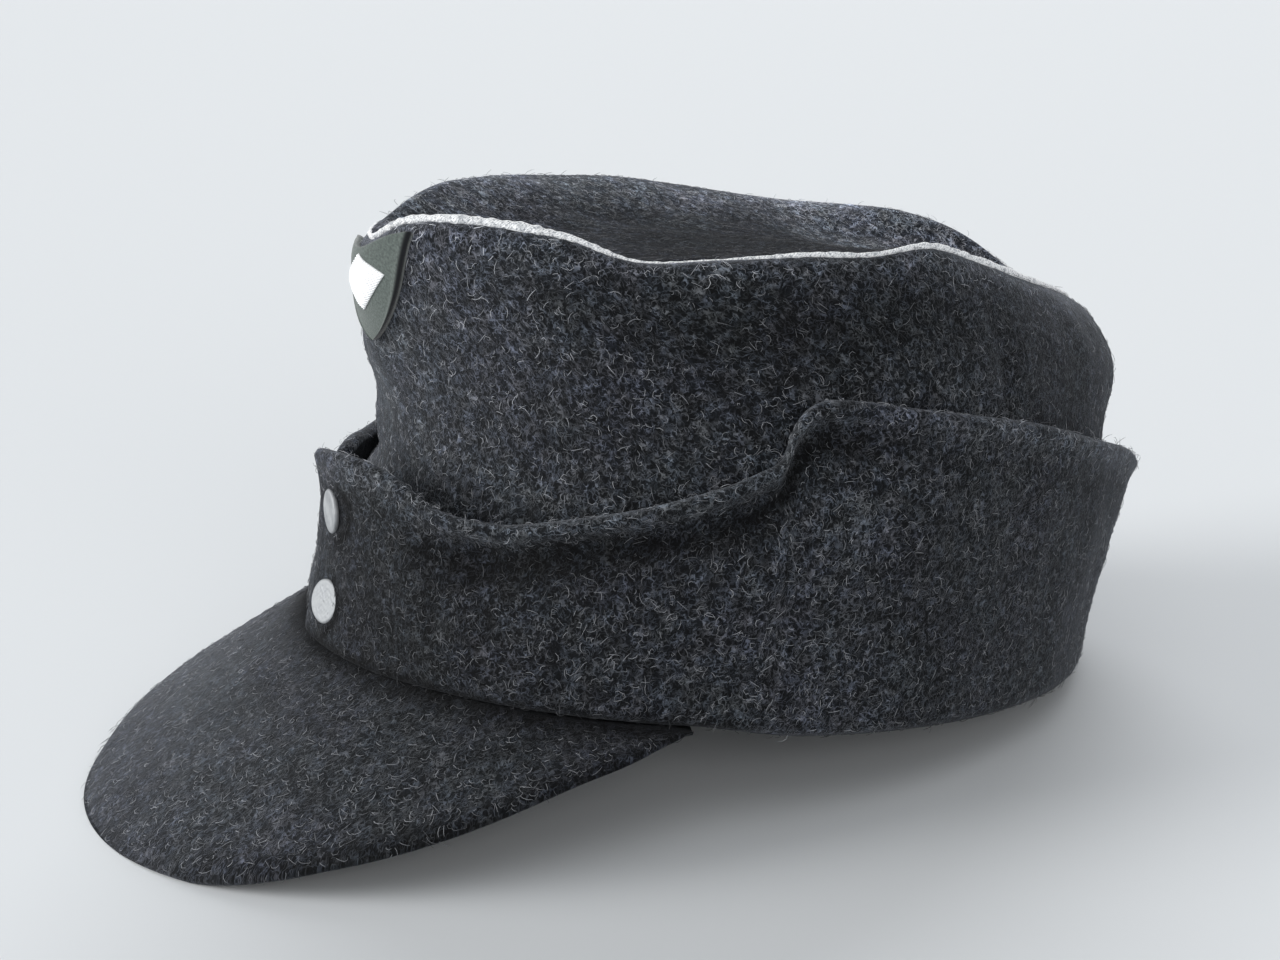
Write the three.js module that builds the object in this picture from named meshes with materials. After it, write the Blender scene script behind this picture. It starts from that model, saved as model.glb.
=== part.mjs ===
// A woollen field cap: soft hollow crown, piped top seam, buttoned turn-up and a sloping peak.
// Millimetres. The cap's own frame stands on its base plane: +Z up, the peak towards -Y and the
// wearer's left towards +X. Bearings are degrees round the cap, 0 at the front, 90 on the left.
// The whole cap is then tilted back onto its peak and its rear edge, as it lies on a table.
import * as THREE from 'three';
import { mergeVertices } from 'three/addons/utils/BufferGeometryUtils.js';

const DEG = Math.PI / 180;

// Driving dimensions
const GAP = 0.3; // between pieces that touch on the real cap
const CLOTH = 2; // one layer of felted wool
const EDGE_BEVEL = 0.9; // how much further in a cut edge's inner corner lies than its outer one
const STEP = 5; // degrees between the sections round the cap
const REST = {
  tilt: 8.8, // slope of the base plane as the cap lies
  floor: -16, // the floor's height under the base plane's middle
  settle: 1.6, // how much of the lowest cloth is pressed flat
  fade: 6,
};
const TURN_UP = {
  wall: 3.2, // doubled cloth
  clear: 0.6, // off the crown at the base
  overlap: 3.6, // the left end is lifted this far to pass over the right end
  lapFade: { from: 12, over: 60 }, // bearings over which that lift dies away
  start: -5,
  end: 368,
  bead: { out: 1, below: 2.4, width: 2.6 }, // the rolled upper edge
  hollow: { out: -1.3, below: 9.5, width: 5 }, // and the hollow under it
  even: { from: 72, over: 12, left: 0.25 }, // bearings beyond which only this part of both is left
  flare: { reach: 2.2, from: 0.55, bearing: 16, fade: 20 }, // the left end's upper corner leans out
  bulge: 2.2, // how late the wall leaves the crown on its way up
};
const HEM = { over: 1.9, reach: 77, fade: 16 }; // the lower edges rise this much to let the peak in
const TOP = {
  sag: 5.6, // of the middle below the seam
  crest: 9.2, // of the puffed right side above it
  crestAt: -0.89, // its place between the right seam, -1, and the left seam, 1
  crestWidth: 0.28,
  squareness: 6, // how far the puff keeps its height towards front and back
};
const PIPING = { radius: 1.1, sides: 6 };
const PEAK = {
  length: 66.1,
  slope: 38.7,
  sideSlope: -3, // added to the slope towards the sides
  spread: 64.4, // bearing of its two ends
  taper: 1.63,
  arch: 0.5,
  twist: 1.6, // how far its rim rises on the left and sinks on the right
  bow: 0.4, // how far its rim rises on both sides
  sections: 34,
};
const PEAK_CLOTH = { middle: 2.9, ends: 1.4, root: 5.5 }; // thickness, and how far it runs under the turn-up
const BUTTON = { radius: 5.3, thick: 2.2, sides: 20, bearing: 1, off: 0.6, lower: 11.8, upper: 34 };
const SEAM_GAP = PIPING.radius + GAP; // from the seam line to the edges of the cloth beside it
const BACKING = { top: 0.972, bottom: 0.75, half: 11, round: 0.8, lift: 0.5, thick: 1 };
const MOTIF = { top: 0.945, bottom: 0.79, half: 7.5, lift: 1.8, thick: 0.9 };

// Crown sections, each a fraction of the way up from the base to the top seam: half its width, its
// reach to the front and to the back, and how far its front and back narrow to a point
const SECTIONS = [
  { up: 0.0, half: 82.8, front: 102, back: 103, frontPinch: 0, backPinch: 0 },
  { up: 0.25, half: 82.8, front: 97, back: 103.4, frontPinch: 0, backPinch: 0 },
  { up: 0.5, half: 82, front: 91.5, back: 105.5, frontPinch: 0.05, backPinch: 0.02 },
  { up: 0.7, half: 79.8, front: 95, back: 105.8, frontPinch: 0.15, backPinch: 0.05 },
  { up: 0.85, half: 75.5, front: 101.5, back: 107.5, frontPinch: 0.28, backPinch: 0.09 },
  { up: 0.94, half: 70, front: 103.5, back: 104.1, frontPinch: 0.41, backPinch: 0.14 },
  { up: 1.0, half: 65, front: 101.5, back: 96.3, frontPinch: 0.47, backPinch: 0.18 },
];

// Height of the piped top seam round the cap, on the wearer's left and right
const SEAM = [
  { bearing: 0, left: 98.8, right: 98.8 },
  { bearing: 15, left: 104, right: 99.3 },
  { bearing: 30, left: 106, right: 100.9 },
  { bearing: 45, left: 105.1, right: 104.6 },
  { bearing: 55, left: 101.3, right: 105.7 },
  { bearing: 65, left: 103.4, right: 106 },
  { bearing: 76, left: 106.4, right: 105.5 },
  { bearing: 85, left: 107.4, right: 105.4 },
  { bearing: 94, left: 109.9, right: 104.5 },
  { bearing: 104, left: 106.7, right: 103.9 },
  { bearing: 118, left: 101.5, right: 102.7 },
  { bearing: 140, left: 95.2, right: 103.5 },
  { bearing: 160, left: 90.1, right: 98.4 },
  { bearing: 180, left: 90.3, right: 90.3 },
];

// Height of the turn-up's upper edge on the wearer's left and right, and how far it stands off the
// crown there
const EDGE = [
  { bearing: 0, left: 48.1, right: 48.1, stand: 9 },
  { bearing: 7, left: 48.6, right: 46, stand: 8.5 },
  { bearing: 14, left: 46.5, right: 41.9, stand: 7.2 },
  { bearing: 20, left: 42.6, right: 39.2, stand: 5.6 },
  { bearing: 30, left: 41.7, right: 39.6, stand: 2.5 },
  { bearing: 40, left: 45.5, right: 41.3, stand: 1.2 },
  { bearing: 50, left: 50.1, right: 45, stand: 1 },
  { bearing: 60, left: 56.1, right: 53, stand: 1 },
  { bearing: 65, left: 60.3, right: 59, stand: 1.3 },
  { bearing: 68, left: 64.8, right: 64.8, stand: 1.5 },
  { bearing: 70, left: 74.5, right: 74.5, stand: 1.7 },
  { bearing: 72, left: 77.8, right: 77.8, stand: 2 },
  { bearing: 75, left: 78, right: 78, stand: 2.3 },
  { bearing: 85, left: 77.2, right: 77.2, stand: 3 },
  { bearing: 105, left: 72.3, right: 72.3, stand: 4.5 },
  { bearing: 120, left: 66.2, right: 66.2, stand: 5.4 },
  { bearing: 135, left: 60.3, right: 60.3, stand: 5.9 },
  { bearing: 150, left: 53.2, right: 53.2, stand: 6.2 },
  { bearing: 165, left: 51.4, right: 51.4, stand: 6.2 },
  { bearing: 180, left: 50, right: 50, stand: 6.2 },
];

// Dents and swellings of the soft crown: where they are, how far they spread and how deep they go
const FOLDS = [
  { name: 'left dent under the piping', bearing: 62, up: 0.87, spread: 17, rise: 0.08, depth: -2.6 },
  { name: 'left hollow behind it', bearing: 96, up: 0.86, spread: 13, rise: 0.07, depth: -2.2 },
  { name: 'left rear swelling', bearing: 148, up: 0.82, spread: 20, rise: 0.12, depth: 1.6 },
  { name: 'right dent under the piping', bearing: -78, up: 0.87, spread: 22, rise: 0.08, depth: -2 },
  { name: 'right rear swelling', bearing: -150, up: 0.82, spread: 20, rise: 0.12, depth: 1.2 },
];

const clamp = (value, low, high) => Math.min(Math.max(value, low), high);
const mix = (a, b, t) => a + (b - a) * t;
const bell = (offset, width) => Math.exp(-((offset / width) ** 2));

// A smooth step from 0 to 1
function ease(t) {
  const s = clamp(t, 0, 1);
  return s * s * (3 - 2 * s);
}

// A bearing brought to -180..180
const wrap = (bearing) => ((((bearing + 180) % 360) + 360) % 360) - 180;

// Evenly spaced values from a to b, both ends included
const spaced = (a, b, count) => Array.from({ length: count + 1 }, (_, i) => mix(a, b, i / count));

// One column of a table as a smooth curve through its rows
function curve(rows, key, name) {
  const last = rows.length - 1;
  const steep = (i) => {
    const [before, after] = [rows[Math.max(i - 1, 0)], rows[Math.min(i + 1, last)]];
    return (after[name] - before[name]) / (after[key] - before[key]);
  };
  return (at) => {
    let i = 0;
    while (i < last - 1 && at > rows[i + 1][key]) i++;
    const span = rows[i + 1][key] - rows[i][key];
    const t = clamp((at - rows[i][key]) / span, 0, 1);
    const [t2, t3] = [t * t, t * t * t];
    return (2 * t3 - 3 * t2 + 1) * rows[i][name] + (t3 - 2 * t2 + t) * span * steep(i)
      + (3 * t2 - 2 * t3) * rows[i + 1][name] + (t3 - t2) * span * steep(i + 1);
  };
}

// A table of left and right values as one closed curve round the cap
function round(rows, left, right) {
  const at = (bearing, value) => ({ bearing, value });
  const inner = rows.slice(1, -1);
  const rightSide = inner.map((row) => at(-row.bearing, row[right])).reverse();
  const leftSide = inner.map((row) => at(row.bearing, row[left]));
  const [front, back] = [rows[0][left], rows[rows.length - 1][left]];
  const lastLeft = leftSide[leftSide.length - 1];
  const firstRight = rightSide[0];
  const before = at(lastLeft.bearing - 360, lastLeft.value);
  const after = at(firstRight.bearing + 360, firstRight.value);
  const whole = [before, at(-180, back), ...rightSide, at(0, front), ...leftSide, at(180, back), after];
  const read = curve(whole, 'bearing', 'value');
  return (bearing) => read(wrap(bearing));
}

const section = Object.fromEntries(['half', 'front', 'back', 'frontPinch', 'backPinch']
  .map((name) => [name, curve(SECTIONS, 'up', name)]));
const seamHeight = round(SEAM, 'left', 'right');
const edgeHeight = round(EDGE, 'left', 'right');
const edgeStand = round(EDGE, 'stand', 'stand');

// The crown's outer face before its dents: an egg-shaped oval at every height
function plainCrown(bearing, up) {
  const [s, c] = [Math.sin(bearing * DEG), Math.cos(bearing * DEG)];
  const reach = c > 0 ? section.front(up) : section.back(up);
  const pinch = (c > 0 ? section.frontPinch(up) : section.backPinch(up)) * c * c;
  return new THREE.Vector3(section.half(up) * s * (1 - pinch), -reach * c, seamHeight(bearing) * up);
}

// The level outward direction at a bearing, square to the base oval
function outward(bearing) {
  const base = SECTIONS[0];
  const [s, c] = [Math.sin(bearing * DEG), Math.cos(bearing * DEG)];
  return new THREE.Vector3(s / base.half, -c / base.back, 0).normalize();
}

// The crown's outer face with its dents and swellings
function crownFace(bearing, up) {
  const depth = FOLDS.reduce((sum, fold) => sum + fold.depth
    * bell(wrap(bearing - fold.bearing), fold.spread) * bell(up - fold.up, fold.rise), 0);
  return plainCrown(bearing, up).addScaledVector(outward(bearing), depth);
}

// The outward normal of a face given by bearing and up
function faceNormal(face, bearing, up) {
  const [db, du] = [0.5, 0.005];
  const across = face(bearing + db, up).sub(face(bearing - db, up));
  const rise = face(bearing, up).sub(face(bearing, up - du));
  return across.cross(rise).normalize();
}

// The slope's direction on the crown's face at the top seam
const seamRise = (bearing) => crownFace(bearing, 1).sub(crownFace(bearing, 0.985)).normalize();

// The top panel: a soft sheet hung between the seam's left and right sides, which sags in its middle
// and puffs up along its right side
function topFace(bearing, spread) {
  const seam = crownFace(bearing, 1);
  const [x, y] = [seam.x * spread, seam.y * spread];
  const reach = y < 0 ? section.front(1) : section.back(1);
  const station = Math.acos(clamp(-y / reach, -1, 1)) / DEG;
  const side = clamp(x / Math.max(plainCrown(station, 1).x, 1), -1, 1);
  const across = 1 - side * side;
  const crest = TOP.crest * bell(side - TOP.crestAt, TOP.crestWidth) * Math.sqrt(across);
  const puff = (crest - TOP.sag * across) * (1 - (y / reach) ** TOP.squareness);
  return new THREE.Vector3(x, y, mix(seamHeight(-station), seamHeight(station), (side + 1) / 2) + puff);
}

// Brings the lowest cloth onto the floor on which the cap rests
function settle(point) {
  const [s, c] = [Math.sin(REST.tilt * DEG), Math.cos(REST.tilt * DEG)];
  const above = c * point.z - s * point.y - REST.floor;
  const pull = REST.settle * (1 - ease((above - REST.settle) / REST.fade));
  point.z -= Math.min(above, pull) / c;
  return point;
}

// Skins rings of equally many points into one closed body. Each ring is a closed outline whose first
// half is the outer side and whose second half runs back along the inner side.
function skin(rings, looped) {
  const size = rings[0].length;
  const index = [];
  const quad = (a, b, c, d) => index.push(a, b, c, a, c, d);
  for (let r = 0; r < rings.length - (looped ? 0 : 1); r++) {
    const [here, next] = [r * size, ((r + 1) % rings.length) * size];
    for (let k = 0; k < size; k++) {
      const side = (k + 1) % size;
      quad(here + k, next + k, next + side, here + side);
    }
  }
  const end = (rings.length - 1) * size;
  for (let k = 0; !looped && k < size / 2 - 1; k++) {
    const [a, b, c, d] = [k, k + 1, size - 2 - k, size - 1 - k];
    quad(a, b, c, d);
    quad(end + d, end + c, end + b, end + a);
  }
  const positions = rings.flat().flatMap((point) => point.toArray());
  const loose = new THREE.BufferGeometry();
  loose.setAttribute('position', new THREE.Float32BufferAttribute(positions, 3));
  loose.setIndex(index);
  const welded = mergeVertices(loose);
  const corners = Array.from(welded.index.array);
  const kept = [];
  for (let i = 0; i < corners.length; i += 3) {
    const [a, b, c] = corners.slice(i, i + 3);
    if (a !== b && b !== c && c !== a) kept.push(a, b, c);
  }
  welded.setIndex(kept);
  welded.computeVertexNormals();
  return welded;
}

// Height of the lower edges above the base plane: raised over the peak
const hem = (bearing) => HEM.over * ease((HEM.reach - Math.abs(wrap(bearing))) / HEM.fade);

// Crown side: one wall of cloth from the base to just under the piping
function crownSide() {
  const levels = [0, 0.25, 0.45, 0.6, 0.72, 0.8, 0.87, 0.94];
  const rim = { outer: SEAM_GAP, inner: SEAM_GAP + EDGE_BEVEL };
  const rings = spaced(-180, 180 - STEP, 360 / STEP - 1).map((bearing) => {
    const inside = (point, up) => point.addScaledVector(faceNormal(crownFace, bearing, up), -CLOTH);
    const below = (drop) => crownFace(bearing, 1).addScaledVector(seamRise(bearing), -drop);
    const foot = (hem(bearing) + CLOTH / 2) / seamHeight(bearing);
    const ups = levels.map((up) => Math.max(up, foot));
    const outer = ups.map((up) => crownFace(bearing, up));
    const inner = ups.map((up) => inside(crownFace(bearing, up), up)).reverse();
    return [...outer, below(rim.outer), inside(below(rim.inner), 1), ...inner];
  });
  return skin(rings, true);
}

// Crown top: the dished panel inside the piping
function crownTop() {
  const spreads = [0.95, 0.88, 0.75, 0.55, 0.3, 0];
  const rings = spaced(-180, 180 - STEP, 360 / STEP - 1).map((bearing) => {
    const reach = crownFace(bearing, 1).setZ(0).length();
    const upper = 1 - SEAM_GAP / reach;
    const lower = 1 - (SEAM_GAP + EDGE_BEVEL) / reach;
    const under = (spread) => topFace(bearing, spread).add(new THREE.Vector3(0, 0, -CLOTH));
    const outer = [upper, ...spreads].map((spread) => topFace(bearing, spread));
    return [...outer, ...[lower, ...spreads].map(under).reverse()];
  });
  return skin(rings, true);
}

// Piping: a round cord that lies in the top seam all the way round
function crownPiping() {
  const rings = spaced(-180, 180 - STEP, 360 / STEP - 1).map((bearing) => {
    const out = outward(bearing);
    return spaced(0, 360, PIPING.sides).slice(0, -1).map((turn) => crownFace(bearing, 1)
      .addScaledVector(out, PIPING.radius * Math.cos(turn * DEG))
      .add(new THREE.Vector3(0, 0, PIPING.radius * Math.sin(turn * DEG))));
  });
  return skin(rings, true);
}

// How far the turn-up's left end is lifted to pass over its right end
function overlapLift(along) {
  const { from, over } = TURN_UP.lapFade;
  return TURN_UP.overlap * ease(1 - (along - from) / over);
}

// How far the turn-up's outer face swells or sinks at a distance below its upper edge
function turnUpRoll(bearing, below) {
  const { bead, hollow, even } = TURN_UP;
  const shift = [bead, hollow].reduce((sum, wave) => sum
    + wave.out * bell(below - wave.below, wave.width), 0);
  const rear = ease((Math.abs(bearing) - even.from) / even.over);
  return shift * ease((Math.abs(bearing) - 18) / 12) * mix(1, even.left, rear);
}

// A point of the turn-up: along the band from its left end, up from 0 to 1, through from 0, its
// inner face, to 1, its outer face
function turnUpPoint(along, up, through) {
  const bearing = wrap(along);
  const height = mix(hem(bearing), edgeHeight(bearing), up);
  const stand = mix(TURN_UP.clear, edgeStand(bearing), up ** TURN_UP.bulge);
  const roll = through * turnUpRoll(bearing, (1 - up) * edgeHeight(bearing));
  const { reach, from, bearing: flareEnd, fade } = TURN_UP.flare;
  const flare = reach * ease((up - from) / (1 - from)) * ease((flareEnd - along) / fade);
  const off = stand + overlapLift(along) + TURN_UP.wall * through + roll + flare;
  return plainCrown(bearing, height / seamHeight(bearing)).addScaledVector(outward(bearing), off);
}

// Turn-up: a doubled band round the base whose left end laps over its right end in front
function turnUp() {
  const levels = [0, 0.3, 0.6, 0.82, 0.95];
  const steepLeft = spaced(56, 78, 11); // closer sections where the upper edge steps up
  const steep = [...steepLeft, ...steepLeft.map((along) => 360 - along)];
  const apart = (along) => steep.every((other) => Math.abs(other - along) > STEP / 4);
  const even = spaced(0, 360, 360 / STEP).filter(apart);
  const stations = [TURN_UP.start, ...even, ...steep, TURN_UP.end].sort((a, b) => a - b);
  const rings = stations.map((along) => {
    const outer = levels.map((up) => turnUpPoint(along, up, 1));
    const inner = levels.map((up) => turnUpPoint(along, up, 0)).reverse();
    return [...outer, turnUpPoint(along, 1, 0.75), turnUpPoint(along, 1, 0.25), ...inner].map(settle);
  });
  return skin(rings, false);
}

// The peak's seam line under the turn-up: an oval on the base plane
function peakSeam(bearing) {
  const reach = SECTIONS[0].back + TURN_UP.clear + TURN_UP.wall;
  const half = SECTIONS[0].half + TURN_UP.clear + TURN_UP.wall;
  return new THREE.Vector3(half * Math.sin(bearing * DEG), -reach * Math.cos(bearing * DEG), 0);
}

// How far the peak reaches out from its seam line, and how thick it is, at a bearing
const peakLength = (bearing) => PEAK.length * (1 - (bearing / PEAK.spread) ** 2) ** PEAK.taper;
function peakThick(bearing) {
  const fullness = Math.sqrt(peakLength(bearing) / PEAK.length);
  return mix(PEAK_CLOTH.ends, PEAK_CLOTH.middle, fullness);
}

// A point of the peak's upper face, by the part of its length out from the seam line
function peakPoint(bearing, part) {
  const slope = (PEAK.slope + PEAK.sideSlope * Math.sin(bearing * DEG) ** 2) * DEG;
  const length = peakLength(bearing);
  const arch = PEAK.arch * Math.sin(Math.PI * part) * (length / PEAK.length);
  const side = Math.sin((bearing / PEAK.spread) * (Math.PI / 2));
  const lean = part * (PEAK.twist * side + PEAK.bow * side * side);
  const rise = mix(hem(bearing), peakThick(bearing), part) - GAP + arch + lean;
  const point = peakSeam(bearing).addScaledVector(outward(bearing), part * length * Math.cos(slope));
  return point.setZ(rise - part * length * Math.sin(slope));
}

// Peak: a stiff sloping sheet sewn in under the turn-up, rounded along its rim
function peak() {
  const lastBearing = PEAK.spread - 0.5;
  const parts = [0.985, 0.95, 0.88, 0.7, 0.45, 0.2, 0.06, 0];
  const rings = spaced(-lastBearing, lastBearing, PEAK.sections).map((bearing) => {
    const below = (point, depth) => point.add(new THREE.Vector3(0, 0, -peakThick(bearing) * depth));
    const root = () => peakPoint(bearing, 0).addScaledVector(outward(bearing), -PEAK_CLOTH.root);
    const upper = parts.map((part) => peakPoint(bearing, part));
    const lower = parts.map((part) => below(peakPoint(bearing, part), 1)).reverse();
    const rim = [0.35, 0.75].map((depth) => below(peakPoint(bearing, 1), depth));
    return [rim[0], ...upper, root(), below(root(), 1), ...lower, rim[1]].map(settle);
  });
  return skin(rings, false);
}

// Bearing of the crown's face at a distance to the left of the middle line
function bearingAt(side, up) {
  let [low, high] = [0, 60];
  for (let i = 0; i < 24; i++) {
    const middle = (low + high) / 2;
    const short = plainCrown(middle, up).x < Math.abs(side);
    [low, high] = short ? [middle, high] : [low, middle];
  }
  return Math.sign(side) * low;
}

// A plate of cloth laid on the front of the crown, with a width that follows its height
function frontPatch(shape, halfAt, across, down) {
  const rings = spaced(-1, 1, across).map((part) => {
    const at = (t, lift) => {
      const up = mix(shape.bottom, shape.top, t);
      const bearing = bearingAt(halfAt(t) * part, up);
      return crownFace(bearing, up).addScaledVector(faceNormal(crownFace, bearing, up), lift);
    };
    const steps = spaced(0, 1, down);
    const outer = steps.map((t) => at(t, shape.lift + shape.thick));
    const inner = steps.map((t) => at(t, shape.lift)).reverse();
    return [...outer, ...inner];
  });
  return skin(rings, false);
}

// Badge backing: a plain cloth shield that narrows to a round point
function badgeBacking() {
  const halfAt = (t) => BACKING.half * Math.sin((t * Math.PI) / 2) ** BACKING.round;
  return frontPatch(BACKING, halfAt, 10, 7);
}

// Badge motif: a plain raised lozenge
function badgeMotif() {
  const halfAt = (t) => MOTIF.half * (1 - Math.abs(2 * t - 1));
  return frontPatch(MOTIF, halfAt, 8, 6);
}

// Button: a flat disc with a rounded rim and a shallow back
function button() {
  const { radius, thick, sides } = BUTTON;
  const profile = [
    { across: 0, along: 0 },
    { across: 0.8, along: 0 },
    { across: 1, along: 0.35 },
    { across: 1, along: 0.6 },
    { across: 0.9, along: 0.9 },
    { across: 0.5, along: 1 },
    { across: 0, along: 1 },
  ];
  const points = profile.map(({ across, along }) => new THREE.Vector2(radius * across, thick * along));
  return new THREE.LatheGeometry(points, sides);
}

// Sets a button on the turn-up's outer face at a height
function placeButton(mesh, height) {
  const along = BUTTON.bearing;
  const up = height / edgeHeight(along);
  const face = (bearing, rise) => turnUpPoint(bearing, rise, 1);
  const normal = faceNormal(face, along, up);
  mesh.position.copy(face(along, up).addScaledVector(normal, BUTTON.off));
  mesh.quaternion.setFromUnitVectors(new THREE.Vector3(0, 1, 0), normal);
  return mesh;
}

function material(color, roughness, metalness) {
  return new THREE.MeshStandardMaterial({ color, roughness, metalness });
}

function piece(name, geometry, look) {
  const mesh = new THREE.Mesh(geometry, look);
  mesh.name = name;
  return mesh;
}

// The assembly in the cap's own frame
const cap = new THREE.Group();
cap.add(
  piece('crown_side', crownSide(), material('#3f444e', 0.95, 0)),
  piece('crown_top', crownTop(), material('#3f444e', 0.95, 0)),
  piece('crown_piping', crownPiping(), material('#c9ccd0', 0.6, 0)),
  piece('turn_up', turnUp(), material('#3f444e', 0.95, 0)),
  piece('peak', peak(), material('#3f444e', 0.95, 0)),
  piece('badge_backing', badgeBacking(), material('#50585a', 0.95, 0)),
  piece('badge_motif', badgeMotif(), material('#c4c7c9', 0.8, 0)),
  placeButton(piece('button_lower', button(), material('#c8cacc', 0.45, 0.8)), BUTTON.lower),
  placeButton(piece('button_upper', button(), material('#c8cacc', 0.45, 0.8)), BUTTON.upper),
);
cap.rotation.x = -REST.tilt * DEG;

// At rest: on the floor, with the middle of its outline over the origin
const fieldCap = new THREE.Group();
fieldCap.add(cap);
fieldCap.updateMatrixWorld(true);
const extent = new THREE.Box3().setFromObject(fieldCap, true);
const middle = extent.getCenter(new THREE.Vector3());
cap.position.set(-middle.x, -middle.y, -extent.min.z);
fieldCap.updateMatrixWorld(true);

export default fieldCap;
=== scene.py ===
import math

import bpy
import numpy as np
from mathutils import Matrix, Vector


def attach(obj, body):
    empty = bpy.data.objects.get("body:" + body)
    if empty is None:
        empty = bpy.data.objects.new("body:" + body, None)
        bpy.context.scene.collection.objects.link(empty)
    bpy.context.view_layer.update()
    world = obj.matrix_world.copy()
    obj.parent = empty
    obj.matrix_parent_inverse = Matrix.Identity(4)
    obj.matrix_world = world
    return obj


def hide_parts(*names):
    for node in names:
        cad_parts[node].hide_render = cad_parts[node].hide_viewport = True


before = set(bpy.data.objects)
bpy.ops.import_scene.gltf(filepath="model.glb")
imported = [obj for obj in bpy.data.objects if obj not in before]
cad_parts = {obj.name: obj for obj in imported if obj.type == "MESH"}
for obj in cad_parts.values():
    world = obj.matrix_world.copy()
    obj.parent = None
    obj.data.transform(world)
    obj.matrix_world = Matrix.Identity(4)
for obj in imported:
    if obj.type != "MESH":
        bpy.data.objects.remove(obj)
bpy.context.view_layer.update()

MM = 0.001
DEG = math.pi / 180

# The photograph's camera: where it stands, what it looks at and how it is held
IMAGE_WIDTH = 1280
CAMERA = {
    "azimuth": 60.37, "elevation": 17.337, "roll": -1.733, "distance": 553.1, "target": (3.07, 1.89, 59.57),
    "focal_pixels": 2202.9, "sensor": 36.0,
}

# How the cap lies: the slope and middle of its base plane, and how its lowest cloth settles on the floor
REST = {"tilt": 8.8, "place": (-0.034, 21.063, 16.0), "floor": -16.0, "settle": 1.6, "fade": 6.0}

UP = np.array([0, 0, 1.0])
GAP = 0.3
CLOTH = 2.0
HEM = {"over": 1.9, "reach": 77.0, "fade": 16.0}
TOP = {"sag": 5.6, "crest": 9.2, "crest_at": -0.89, "crest_width": 0.28, "squareness": 6}
TURN_UP = {
    "wall": 3.2, "clear": 0.6, "overlap": 3.6, "lap_from": 12.0, "lap_over": 60.0, "start": -5.0,
    "end": 368.0, "flare": 2.2, "flare_from": 0.55, "flare_bearing": 16.0, "flare_fade": 20.0, "bulge": 2.2,
}
PEAK = {
    "length": 66.1, "slope": 38.7, "side_slope": -3.0, "spread": 64.4, "trim": 2.4, "taper": 1.63,
    "corner": 1.3, "corner_at": 54.5, "corner_width": 4.5, "arch": 0.5, "twist": 1.6, "bow": 0.4,
    "thick_middle": 2.9, "thick_ends": 1.4, "root": 5.5,
}
BACKING = {"top": 0.968, "bottom": 0.76, "half": 12.8, "round": 3.2, "lift": 0.6, "thick": 1.0}
MOTIF = {"top": 0.955, "bottom": 0.835, "half": 8.2, "lift": 1.7, "thick": 0.9, "threads": 26}

# The buttons: their size, where each is, its turn from the camera's side, and the height of its dark ring of
# painted shadow
BUTTON = {"radius": 5.3, "thick": 1.4, "sunk": 0.3}
BUTTONS = {
    "lower": {"height": 11.0, "bearing": 1.0, "lean": -9.0, "dark": 11.8},
    "upper": {"height": 33.1, "bearing": -0.6, "lean": 9.0, "dark": 34.0},
}


def table(columns, *rows):
    """A short table as arrays, one for each named column."""
    return dict(zip(columns.split(), np.array(rows, float).T))


# The crown's oval at parts of its height: half its width, its reaches, and how its sides pinch in
SECTIONS = table(
    "up half front back front_pinch back_pinch",
    (0.00, 82.8, 102.0, 103.0, 0.00, 0.00),
    (0.25, 82.8, 97.0, 103.4, 0.00, 0.00),
    (0.50, 82.0, 91.5, 105.5, 0.05, 0.02),
    (0.70, 79.8, 95.0, 105.8, 0.15, 0.05),
    (0.85, 75.5, 101.5, 107.5, 0.28, 0.09),
    (0.94, 70.0, 103.5, 104.1, 0.41, 0.14),
    (1.00, 65.0, 101.5, 96.3, 0.47, 0.18),
)
# The top seam's height above the base plane on both sides of the cap
SEAM = table(
    "bearing left right",
    (0, 98.8, 98.8), (15, 104.0, 99.3), (30, 106.0, 100.9), (45, 105.1, 104.6), (55, 101.3, 105.7),
    (65, 103.4, 106.0), (76, 106.4, 105.5), (85, 107.4, 105.4), (94, 109.9, 104.5), (104, 106.7, 103.9),
    (118, 101.5, 102.7), (140, 95.2, 103.5), (160, 90.1, 98.4), (180, 90.3, 90.3),
)
# The turn-up's upper edge: its height on both sides, and how far it stands off the crown
EDGE = table(
    "bearing left right stand",
    (0, 48.1, 48.1, 9.0), (7, 48.6, 46.0, 8.5), (14, 46.5, 41.9, 7.2), (20, 42.6, 39.2, 5.6),
    (30, 41.7, 39.6, 2.5), (40, 45.5, 41.3, 1.2), (50, 50.1, 45.0, 1.0), (60, 56.1, 53.0, 1.0),
    (65, 60.3, 59.0, 1.3), (68, 64.8, 64.8, 1.5), (70, 74.5, 74.5, 1.7), (72, 77.8, 77.8, 2.0),
    (75, 78.0, 78.0, 2.3), (85, 77.2, 77.2, 3.0), (105, 72.3, 72.3, 4.5), (120, 66.2, 66.2, 5.4),
    (135, 60.3, 60.3, 5.9), (150, 53.2, 53.2, 6.2), (165, 51.4, 51.4, 6.2), (180, 50.0, 50.0, 6.2),
)
# Dents and swellings of the crown: place, spread in degrees and in height, depth outwards
FOLDS = table(
    "bearing up spread rise depth",
    (62, 0.87, 17, 0.08, -2.6),
    (96, 0.86, 13, 0.07, -2.2),
    (148, 0.82, 20, 0.12, 1.6),
    (-16, 0.71, 26, 0.08, 2.6),
    (-24, 0.42, 20, 0.06, -3.2),
    (-78, 0.87, 22, 0.08, -2.0),
    (-150, 0.82, 20, 0.12, 1.2),
)
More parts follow.
